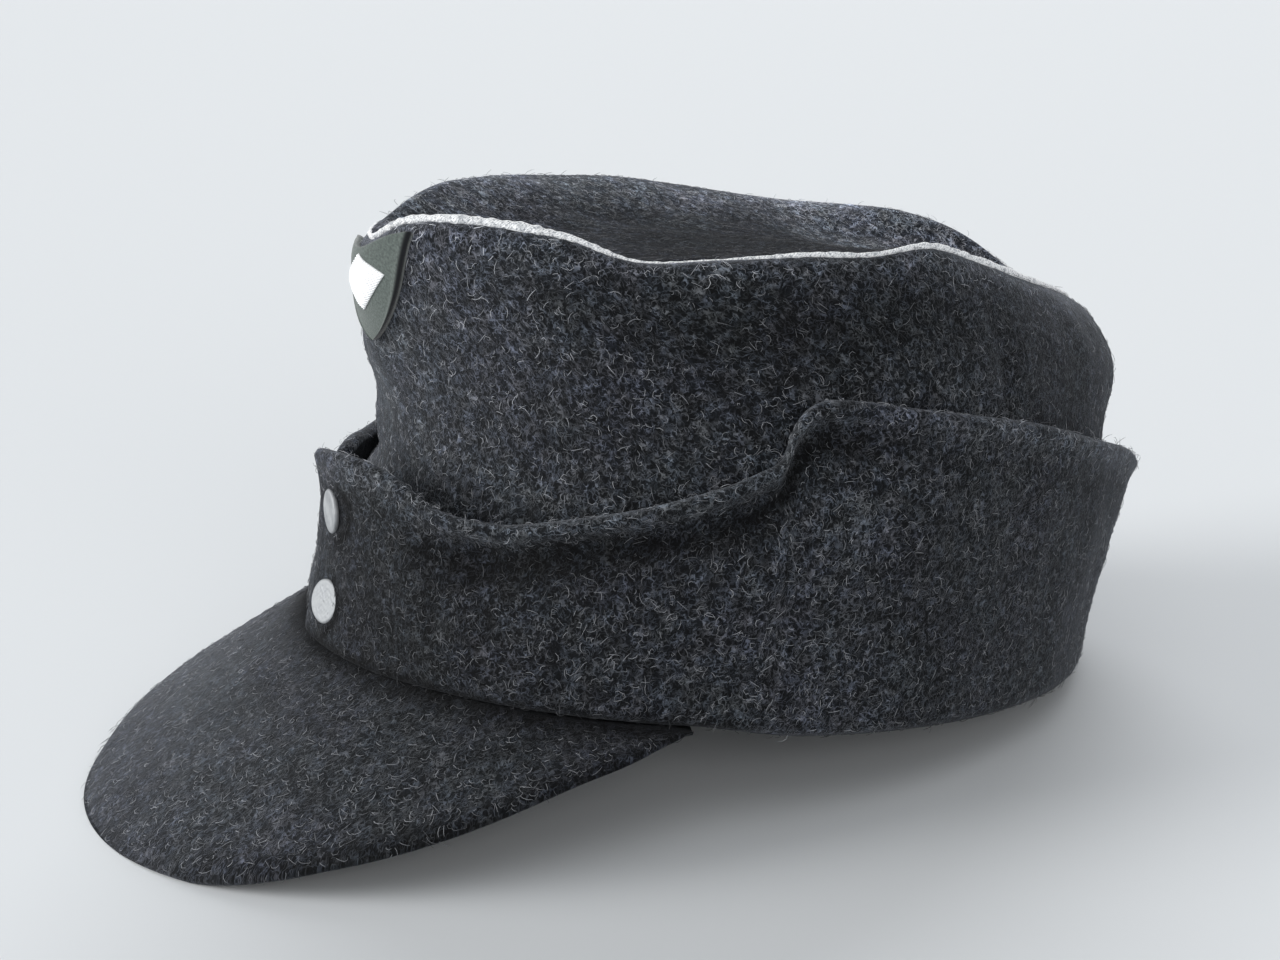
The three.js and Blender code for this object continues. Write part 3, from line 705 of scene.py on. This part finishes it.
def peak():
    bearing = (PEAK["spread"] - PEAK["trim"]) * np.sin(np.linspace(-math.pi / 2, math.pi / 2, 181))
    part = 1 - np.linspace(0, 1, 46) ** 1.25
    b, p = np.meshgrid(bearing, part, indexing="ij")
    thick = peak_thick(b) * mix(0.25, 1.0, ease(peak_length(b) / 3))
    lower = peak_point(b, p) - thick[..., None] * UP
    upper = peak_point(b, p)
    inside = (1 - p) * peak_length(b)
    round_off = -0.8 * (1 - np.sqrt(1 - np.clip(1 - inside / 3.0, 0, 1) ** 2))
    upper = upper + vector(0, 0, uneven(upper, "peak") * ease(inside / 6) + round_off)
    root = upper[:, -1:] - outward(b[:, -1:]) * PEAK["root"]
    under_root = lower[:, -1:] - outward(b[:, -1:]) * PEAK["root"]
    rings = settle(np.concatenate([upper, root, under_root, lower[:, ::-1]], axis=1))
    high, low = rings[:, 0], rings[:, -1]
    rim_out = outward(b[:, 0]) * (0.7 * np.minimum(1, peak_length(b[:, :1]) / 12))
    rim = [mix(low, high, up) + rim_out * out for up, out in zip(*PEAK_RIM.values())]
    rings = np.concatenate([rings, np.stack(rim, 1)], axis=1)
    near_root = p * peak_length(b)
    # Painted shadow under the turn-up's foot, and painted shade along the near rim
    painted_foot_shadow = 0.55 * bell(near_root, 4.5) + 0.3 * bell(near_root, 24)
    painted_rim_shade = 0.5 * bell(inside - 1.0, 4.0) * ease((b - 8) / 22)
    rim_rows, lower_rim_rows = len(rim), len(rim) + 5
    # Painted shade on the root and underside, less of it on the rim
    shade = np.full(rings.shape[:2], 0.28)
    shade[:, : len(part)] = 1 - np.maximum(painted_foot_shadow, painted_rim_shade)
    shade[:, -lower_rim_rows:-rim_rows] = 0.7 - 0.6 * painted_rim_shade[:, :1]
    shade[:, -rim_rows:] = 0.9 - painted_rim_shade[:, :1]
    dress_nap("peak_nap", upper, shade, count=2200, seed=64, stand=0.6, heading=-math.pi / 2)
    return skin("peak_wool", rings, False, closed(rings)[..., :2] * [1, 1.2], shade=shade)


def bearing_at(side, up):
    """Bearing of the crown's face at a distance to the left of the middle line."""
    low, high = np.zeros_like(side), np.full_like(side, 60.0)
    for _ in range(30):
        middle = (low + high) / 2
        short = plain_crown(middle, up)[..., 0] < np.abs(side)
        low, high = np.where(short, middle, low), np.where(short, high, middle)
    return np.sign(side) * low


def front_patch(name, shape, half_at, across, down, relief):
    """A plate of cloth or thread on the front of the crown, with a width that follows its height."""
    part = np.linspace(-1, 1, across)
    t = np.linspace(0.004, 0.996, down)
    p, t = np.meshgrid(part, t, indexing="ij")
    up = mix(shape["bottom"], shape["top"], t)
    bearing = bearing_at(half_at(t) * p, up)
    face = crown_cloth(bearing, up)
    normal = face_normal(crown_face, bearing, up)
    inner = face - normal * 0.2
    outer = face + normal * (shape["lift"] + shape["thick"] + relief(p, t))[..., None]
    rings = np.concatenate([outer, inner[:, ::-1]], axis=1)
    edge = np.zeros(rings.shape[:2])
    edge[:, :down] = np.abs(p) ** 8
    return skin(name, rings, False, flat_places(rings), edge)


def badge_backing():
    """A shield of felt with a slightly raised border."""

    def half_at(t):
        return BACKING["half"] * (1 - (1 - t) ** BACKING["round"])

    def relief(p, t):
        return 0.25 * bell(np.abs(p) - 0.93, 0.06) - 0.3 * (np.abs(p) > 0.985)

    return front_patch("badge_backing_cloth", BACKING, half_at, 61, 60, relief)


def badge_motif():
    """A plain lozenge of level threads, crowned in its middle."""

    def half_at(t):
        return MOTIF["half"] * (1 - np.abs(2 * t - 1))

    def relief(p, t):
        threads = 0.12 * np.sin(t * 2 * math.pi * MOTIF["threads"])
        return 0.7 * (1 - p * p) * np.minimum(1, 4 * (1 - np.abs(2 * t - 1))) + threads - 0.7

    return front_patch("badge_motif_thread", MOTIF, half_at, 41, 210, relief)


# A button's section from its middle at the back, round its rim to its face, in parts of its size
BUTTON_RIM = table(
    "across high",
    (0.0, 0.0), (0.8, 0.0), (0.95, 0.2), (1.0, 0.5), (1.0, 0.66),
    (0.985, 0.8), (0.955, 0.91), (0.91, 0.98), (0.86, 1.0),
)


def button(name, place):
    """A flat metal button with a finely pebbled face and a rounded rim, sunk a little into the wool."""
    bearing = np.array(place["bearing"])
    up = np.array(place["height"] / float(edge_height(bearing)))

    def face(bearing, rise):
        return turn_up_point(bearing, rise, 1.0)

    normal = Vector(face_normal(face, bearing, up))
    centre = face(bearing, up) - np.array(normal) * BUTTON["sunk"]
    normal.rotate(Matrix.Rotation(-place["lean"] * DEG, 3, "Z"))
    across = np.concatenate([BUTTON_RIM["across"], np.linspace(0.82, 0.02, 24)])
    high = np.concatenate([BUTTON_RIM["high"], np.full(24, 0.99)])
    turn = np.linspace(0, 2 * math.pi, 73)[:-1]
    x = across[None, :] * BUTTON["radius"] * np.cos(turn)[:, None]
    y = across[None, :] * BUTTON["radius"] * np.sin(turn)[:, None]
    pebbles = uneven(vector(x, y, 0), "button") * (across < 0.83) * (high > 0.5)
    points = vector(x, y, high[None, :] * BUTTON["thick"] + pebbles)
    spin = np.array(normal.to_track_quat("Z", "Y").to_matrix())
    return skin(name, points @ spin.T + centre, True, closed(points)[..., :2])


def node(tree, kind, settings=None, inputs=None):
    """A shader node with its settings, its values and its incoming links."""
    made = tree.nodes.new(kind)
    for key, value in (settings or {}).items():
        setattr(made, key, value)
    for key, value in (inputs or {}).items():
        socket = made.inputs[key]
        if isinstance(value, bpy.types.NodeSocket):
            tree.links.new(value, socket)
        else:
            socket.default_value = value
    return made


def attribute(tree, name, output="Fac"):
    """A value that the mesh holds at each point or corner."""
    return node(tree, "ShaderNodeAttribute", {"attribute_name": name}).outputs[output]


def maths(tree, operation, a, b=0.0):
    return node(tree, "ShaderNodeMath", {"operation": operation}, {0: a, 1: b}).outputs[0]


def vectors(tree, operation, a, b):
    """A vector with another added, taken away or multiplied, or scaled by a number."""
    second = "Scale" if operation == "SCALE" else 1
    return node(tree, "ShaderNodeVectorMath", {"operation": operation}, {0: a, second: b}).outputs[0]


def channels(tree, value):
    """The three independent values in a colour."""
    return node(tree, "ShaderNodeSeparateColor", None, {"Color": value}).outputs


def ramp(tree, value, low, high, to_low=0.0, to_high=1.0):
    """A smooth step of a value between two limits."""
    inputs = {"Value": value, "From Min": low, "From Max": high, "To Min": to_low, "To Max": to_high}
    made = node(tree, "ShaderNodeMapRange", {"interpolation_type": "SMOOTHSTEP"}, inputs)
    return made.outputs["Result"]


def blend_colour(tree, factor, a, b):
    """A colour between two others, each a display colour code or another node's output."""
    a, b = (colour(c) if isinstance(c, str) else c for c in (a, b))
    return node(tree, "ShaderNodeMix", {"data_type": "RGBA"}, {0: factor, 6: a, 7: b}).outputs[2]


def noise(tree, place, scale, detail, roughness=0.5, dimensions="3D"):
    """The outputs of a noise with humps about 1 / scale apart."""
    inputs = {"Vector": place, "Scale": scale, "Detail": detail, "Roughness": roughness}
    return node(tree, "ShaderNodeTexNoise", {"noise_dimensions": dimensions}, inputs).outputs


def flat_noise(tree, place, scale, detail):
    """The outputs of a noise over flat cloth."""
    return noise(tree, place, scale, detail, 0.55, "2D")


def colour(code):
    """A display colour code as a linear colour."""
    parts = [int(code[i : i + 2], 16) / 255 for i in (1, 3, 5)]
    return [c / 12.92 if c <= 0.04045 else ((c + 0.055) / 1.055) ** 2.4 for c in parts] + [1.0]


def blank_material(name, roughness, specular, **constants):
    """A material with a principled shader, whose constant values are set on its own sockets."""
    made = bpy.data.materials.new(name)
    made.use_nodes = True
    tree = made.node_tree
    shader = tree.nodes["Principled BSDF"]
    shader.inputs["Roughness"].default_value = roughness
    shader.inputs["Specular IOR Level"].default_value = specular
    for key, value in constants.items():
        shader.inputs[key.replace("_", " ").title()].default_value = value
    return made, tree, shader


def surface(tree, shader, base, height, strength, distance):
    """Gives a shader its colour and its bump."""
    bump = node(tree, "ShaderNodeBump", None, {"Strength": strength, "Distance": distance, "Height": height})
    tree.links.new(base, shader.inputs["Base Color"])
    tree.links.new(bump.outputs[0], shader.inputs["Normal"])


def curls(tree, place, seed, scale, width, share):
    """One layer of curled hairs: the contour lines of a noise, broken up by a second one."""
    first = vectors(tree, "ADD", place, (seed * 17.3, seed * -9.1, 0))
    second = vectors(tree, "ADD", place, (seed * -23.7, seed * 31.9, 0))
    lines = flat_noise(tree, first, scale, 1.0)["Fac"]
    breaks = channels(tree, flat_noise(tree, second, scale * 0.8, 1.0)["Color"])
    level = ramp(tree, breaks[2], 0.3, 0.7, 0.44, 0.56)
    away = maths(tree, "ABSOLUTE", maths(tree, "SUBTRACT", lines, level))
    body = ramp(tree, away, width, width * 0.25)
    shown = ramp(tree, breaks[0], 0.62 - share * 0.3, 0.72 - share * 0.3)
    return maths(tree, "MULTIPLY", body, shown), breaks[1]


def fibres(tree, place, turn, length, width, share):
    """One layer of fibres that lie across the cloth at an angle, as a mask and each fibre's own tone."""
    inputs = {"Vector": place, "Rotation": (0, 0, turn * DEG), "Scale": (length, width, 1)}
    inputs["Location"] = (turn, turn / 7, 0)
    turned = node(tree, "ShaderNodeMapping", {"vector_type": "TEXTURE"}, inputs)
    settings = {"voronoi_dimensions": "2D", "feature": "F1"}
    inputs = {"Vector": turned.outputs[0], "Scale": 1.0, "Randomness": 1.0}
    cells = node(tree, "ShaderNodeTexVoronoi", settings, inputs)
    tone = channels(tree, cells.outputs["Color"])
    shown = ramp(tree, tone[0], 1 - share, 1 - share + 0.12)
    body = ramp(tree, cells.outputs["Distance"], 0.42, 0.16)
    return maths(tree, "MULTIPLY", body, shown), tone[1]


# Fibre layers of the wool: direction on the cloth, length and width in millimetres, how many show
RANDOM_NAP = table(
    "turn length width share",
    (12, 3.2, 0.36, 0.45), (67, 2.8, 0.34, 0.45), (118, 3.0, 0.36, 0.45),
)
FORWARD_NAP = table(
    "turn length width share",
    (78, 3.6, 0.40, 0.55), (96, 3.2, 0.36, 0.50), (62, 3.0, 0.36, 0.45),
)
# Curled hairs of the wool: their own seed, closeness per millimetre, width and how many show
CURLS = table(
    "seed scale width share",
    (1, 0.26, 0.028, 0.50), (2, 0.36, 0.036, 0.55), (3, 0.50, 0.046, 0.55), (4, 0.72, 0.060, 0.60),
)
# Tints between which the wool drifts, from tuft to tuft and over broad patches
TUFT_TINTS = (0.93, 0.985, 1.10, 1), (1.03, 0.99, 0.97, 1)
PATCH_TINTS = (0.99, 0.985, 1.04, 1), (0.97, 1.02, 0.98, 1)


def wool(name, layers, dark, mid, light, gloss=0.15, bloom=0.32):
    """Milled wool: dark felted ground under short curled fibres of several greys. gloss is its specular
    level, and bloom how strong its sheen is."""
    made, tree, shader = blank_material(name, 0.93, gloss, sheen_roughness=0.45, sheen_tint=colour("#c3c9d3"))
    place = attribute(tree, "cloth", "Vector")
    painted_light_and_shade = attribute(tree, "shade")
    solid = node(tree, "ShaderNodeTexCoord").outputs["Object"]
    push = vectors(tree, "SUBTRACT", flat_noise(tree, place, 0.75, 2.0)["Color"], (0.5, 0.5, 0.5))
    bent = vectors(tree, "ADD", place, vectors(tree, "SCALE", push, 1.5))
    ground = noise(tree, solid, 1500.0, 3.0, 0.65)["Fac"]
    base = blend_colour(tree, ramp(tree, ground, 0.3, 0.72), dark, mid)
    height = maths(tree, "MULTIPLY", ground, 0.5)
    hairs = [(fibres, row, 0.45) for row in zip(*layers.values())]
    hairs += [(curls, row, 0.8) for row in zip(*CURLS.values())]
    for layer, row, strength in hairs:
        mask, tone = layer(tree, bent, *row)
        strand = blend_colour(tree, ramp(tree, tone, 0.3, 0.75), mid, light)
        base = blend_colour(tree, maths(tree, "MULTIPLY", mask, strength), base, strand)
        height = maths(tree, "ADD", height, maths(tree, "MULTIPLY", mask, 0.22))
    patches = channels(tree, noise(tree, solid, 42.0, 3.0, 0.6)["Color"])
    tufts = channels(tree, noise(tree, solid, 260.0, 2.0, 0.6)["Color"])
    shade = ramp(tree, patches[0], 0.3, 0.72, 0.8, 1.2)
    shade = maths(tree, "MULTIPLY", shade, ramp(tree, tufts[0], 0.3, 0.7, 0.5, 1.45))
    # Paler towards edges: wear, and a painted highlight on the rolled edge
    shade = maths(tree, "MULTIPLY", shade, ramp(tree, attribute(tree, "edge"), 0.1, 1.0, 1.0, 1.35))
    # Scaled by the pieces' painted light and shade
    base = vectors(tree, "SCALE", base, maths(tree, "MULTIPLY", shade, painted_light_and_shade))
    for spots, (cool, warm) in ((tufts, TUFT_TINTS), (patches, PATCH_TINTS)):
        tint = blend_colour(tree, ramp(tree, spots[1], 0.35, 0.65), cool, warm)
        base = vectors(tree, "MULTIPLY", base, tint)
    surface(tree, shader, base, height, 0.85, 0.0004)
    # The sheen too is scaled by the painted light and shade
    tree.links.new(maths(tree, "MULTIPLY", painted_light_and_shade, bloom), shader.inputs["Sheen Weight"])
    return made


def nap_material():
    """The loose hairs: pale to dark grey, each with its own tone, under the painted light and shade of the
    wool at their roots.
    """
    made, tree, shader = blank_material("nap", 0.8, 0.2)
    base = blend_colour(tree, attribute(tree, "tone"), "#26282c", "#b4b7bd")
    base = vectors(tree, "SCALE", base, attribute(tree, "shade"))
    tree.links.new(base, shader.inputs["Base Color"])
    return made


def cord_material():
    """Silver-white twisted threads, a little greyer where they are worn."""
    made, tree, shader = blank_material("piping", 0.55, 0.45, sheen_weight=0.6, sheen_roughness=0.4)
    place = attribute(tree, "cloth", "Vector")
    slanted = node(tree, "ShaderNodeMapping", None, {"Vector": place, "Rotation": (0, 0, 38 * DEG)})
    inputs = {"Vector": slanted.outputs[0], "Scale": 0.55, "Distortion": 1.2}
    inputs |= {"Detail": 2.0, "Detail Scale": 2.0}
    threads = node(tree, "ShaderNodeTexWave", {"wave_type": "BANDS"}, inputs).outputs["Fac"]
    base = blend_colour(tree, threads, "#d6d8db", "#f8f9f9")
    worn = noise(tree, place, 0.35, 3.0)["Fac"]
    base = blend_colour(tree, ramp(tree, worn, 0.5, 0.75), base, "#b0b4b9")
    solid = node(tree, "ShaderNodeTexCoord").outputs["Object"]
    specks = noise(tree, solid, 1900.0, 2.0, 0.6)["Fac"]
    base = blend_colour(tree, ramp(tree, specks, 0.5, 0.36), base, "#9a9ea4")
    surface(tree, shader, base, threads, 0.6, 0.0002)
    return made


def felt_material():
    """Fine grey-green felt, darker towards its left and right edges."""
    made, tree, shader = blank_material("badge_cloth", 0.9, 0.2, sheen_weight=0.3, sheen_roughness=0.5)
    grain = noise(tree, attribute(tree, "cloth", "Vector"), 1.6, 4.0, 0.7)["Fac"]
    base = blend_colour(tree, ramp(tree, grain, 0.3, 0.72), "#3b4340", "#5b6460")
    base = blend_colour(tree, ramp(tree, attribute(tree, "edge"), 0.35, 0.8), base, "#15171a")
    surface(tree, shader, base, grain, 0.5, 0.0002)
    return made


def thread_material():
    """Pale satin-stitched thread."""
    made, tree, shader = blank_material("badge_thread", 0.45, 0.5, sheen_weight=0.2, sheen_roughness=0.4)
    grain = noise(tree, attribute(tree, "cloth", "Vector"), 2.4, 3.0)["Fac"]
    base = blend_colour(tree, grain, "#d9dcdf", "#f7f8f8")
    surface(tree, shader, base, grain, 0.4, 0.0001)
    return made


def metal_material():
    """Matt pebbled silver-grey metal, duller in patches."""
    made, tree, shader = blank_material("button_metal", 0.5, 0.45, metallic=0.35)
    solid = node(tree, "ShaderNodeTexCoord").outputs["Object"]
    grain = noise(tree, solid, 900.0, 3.0)["Fac"]
    dull = noise(tree, solid, 260.0, 3.0)["Fac"]
    base = blend_colour(tree, ramp(tree, dull, 0.35, 0.7), "#808386", "#9c9fa1")
    surface(tree, shader, base, grain, 0.5, 0.0001)
    tree.links.new(ramp(tree, dull, 0.3, 0.7, 0.5, 0.7), shader.inputs["Roughness"])
    return made


def towards(azimuth, elevation):
    """The direction to a place so far round from the front to the left and so far up, in degrees."""
    a, e = azimuth * DEG, elevation * DEG
    return Vector((math.sin(a) * math.cos(e), -math.cos(a) * math.cos(e), math.sin(e)))


def camera():
    """The camera at the photograph's place, angle and width of view."""
    azimuth, roll = CAMERA["azimuth"] * DEG, CAMERA["roll"] * DEG
    back = towards(CAMERA["azimuth"], CAMERA["elevation"])
    right = Vector((math.cos(azimuth), math.sin(azimuth), 0))
    up = back.cross(right)
    held_right = math.cos(roll) * right + math.sin(roll) * up
    held_up = math.cos(roll) * up - math.sin(roll) * right
    lens = bpy.data.cameras.new("camera")
    lens.sensor_width = CAMERA["sensor"]
    lens.lens = CAMERA["focal_pixels"] / IMAGE_WIDTH * CAMERA["sensor"]
    lens.clip_start = 0.01
    lens.clip_end = 50
    holder = bpy.data.objects.new("camera", lens)
    bpy.context.scene.collection.objects.link(holder)
    turn = Matrix((held_right, held_up, back)).transposed().to_4x4()
    place = (Vector(CAMERA["target"]) + back * CAMERA["distance"]) * MM
    holder.matrix_world = Matrix.Translation(place) @ turn
    bpy.context.scene.camera = holder


# Soft lights, as far off as a window's: where each stands, how soft and strong it is, and its tint
LIGHTS = {
    "window_front": (330, 12, 35, 3.8, (1.0, 0.995, 0.985)),
    "window_rear": (232, 31, 45, 2.2, (0.97, 0.98, 1.0)),
    "room": (38, 36, 60, 0.1, (1.0, 0.99, 0.98)),
    "side": (76, 12, 50, 1.5, (1.0, 0.99, 0.98)),
    "ceiling": (60, 72, 60, 0.35, (1.0, 1.0, 1.0)),
}
SKY = {"Color": (0.87, 0.9, 0.94, 1), "Strength": 0.33}


def sun(name, azimuth, elevation, softness, power, tint):
    """Soft light from one side."""
    data = bpy.data.lights.new(name, "SUN")
    data.angle = softness * DEG
    data.energy = power
    data.color = tint
    light = bpy.data.objects.new(name, data)
    light.rotation_euler = towards(azimuth, elevation).to_track_quat("Z", "Y").to_euler()
    bpy.context.scene.collection.objects.link(light)


def studio():
    """A pale floor under soft light from the upper left of the picture."""
    corners = 6.0 * np.array([(-1, -1, 0), (1, -1, 0), (1, 1, 0), (-1, 1, 0)])
    floor = mesh_object("floor", corners, [(0, 1, 2, 3)])
    made, tree, shader = blank_material("floor", 0.95, 0.1)
    shader.inputs["Base Color"].default_value = colour("#d6d9db")
    floor.data.materials.append(made)
    for name, values in LIGHTS.items():
        sun(name, *values)
    world = bpy.data.worlds.new("studio")
    world.use_nodes = True
    for key, value in SKY.items():
        world.node_tree.nodes["Background"].inputs[key].default_value = value
    bpy.context.scene.world = world
    bpy.context.scene.view_settings.view_transform = "Standard"


def dress_nap(*shape, **lie):
    """Makes a piece of loose hairs, which replaces none of the CAD nodes."""
    piece = nap(*shape, **lie)
    piece.data.materials.append(hair)
    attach(piece, "root")


def dress(piece, node_name, material):
    """Gives a piece its material and puts it in its CAD node's place."""
    piece.data.materials.append(material)
    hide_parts(node_name)
    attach(piece, "root")


camera()
studio()
body_wool = wool("wool", RANDOM_NAP, "#040506", "#141619", "#65686e")
# The peak's wool: fibres lying forwards, and greys set apart from the body's as painted light and shade
peak_wool = wool("peak_wool", FORWARD_NAP, "#040506", "#17191c", "#5d6066")
# The top's wool: lighter greys than the body's as painted light, and less gloss and sheen
top_wool_painted_light = wool("top_wool_painted_light", RANDOM_NAP, "#08090a", "#24262b", "#8f9298", gloss=0.02, bloom=0.12)
hair = nap_material()
metal = metal_material()
dress(crown_side(), "crown_side", body_wool)
dress(crown_top(), "crown_top", top_wool_painted_light)
dress(crown_piping(), "crown_piping", cord_material())
dress(turn_up(), "turn_up", body_wool)
dress(peak(), "peak", peak_wool)
dress(badge_backing(), "badge_backing", felt_material())
dress(badge_motif(), "badge_motif", thread_material())
for side, place in BUTTONS.items():
    dress(button(f"button_{side}_metal", place), f"button_{side}", metal)
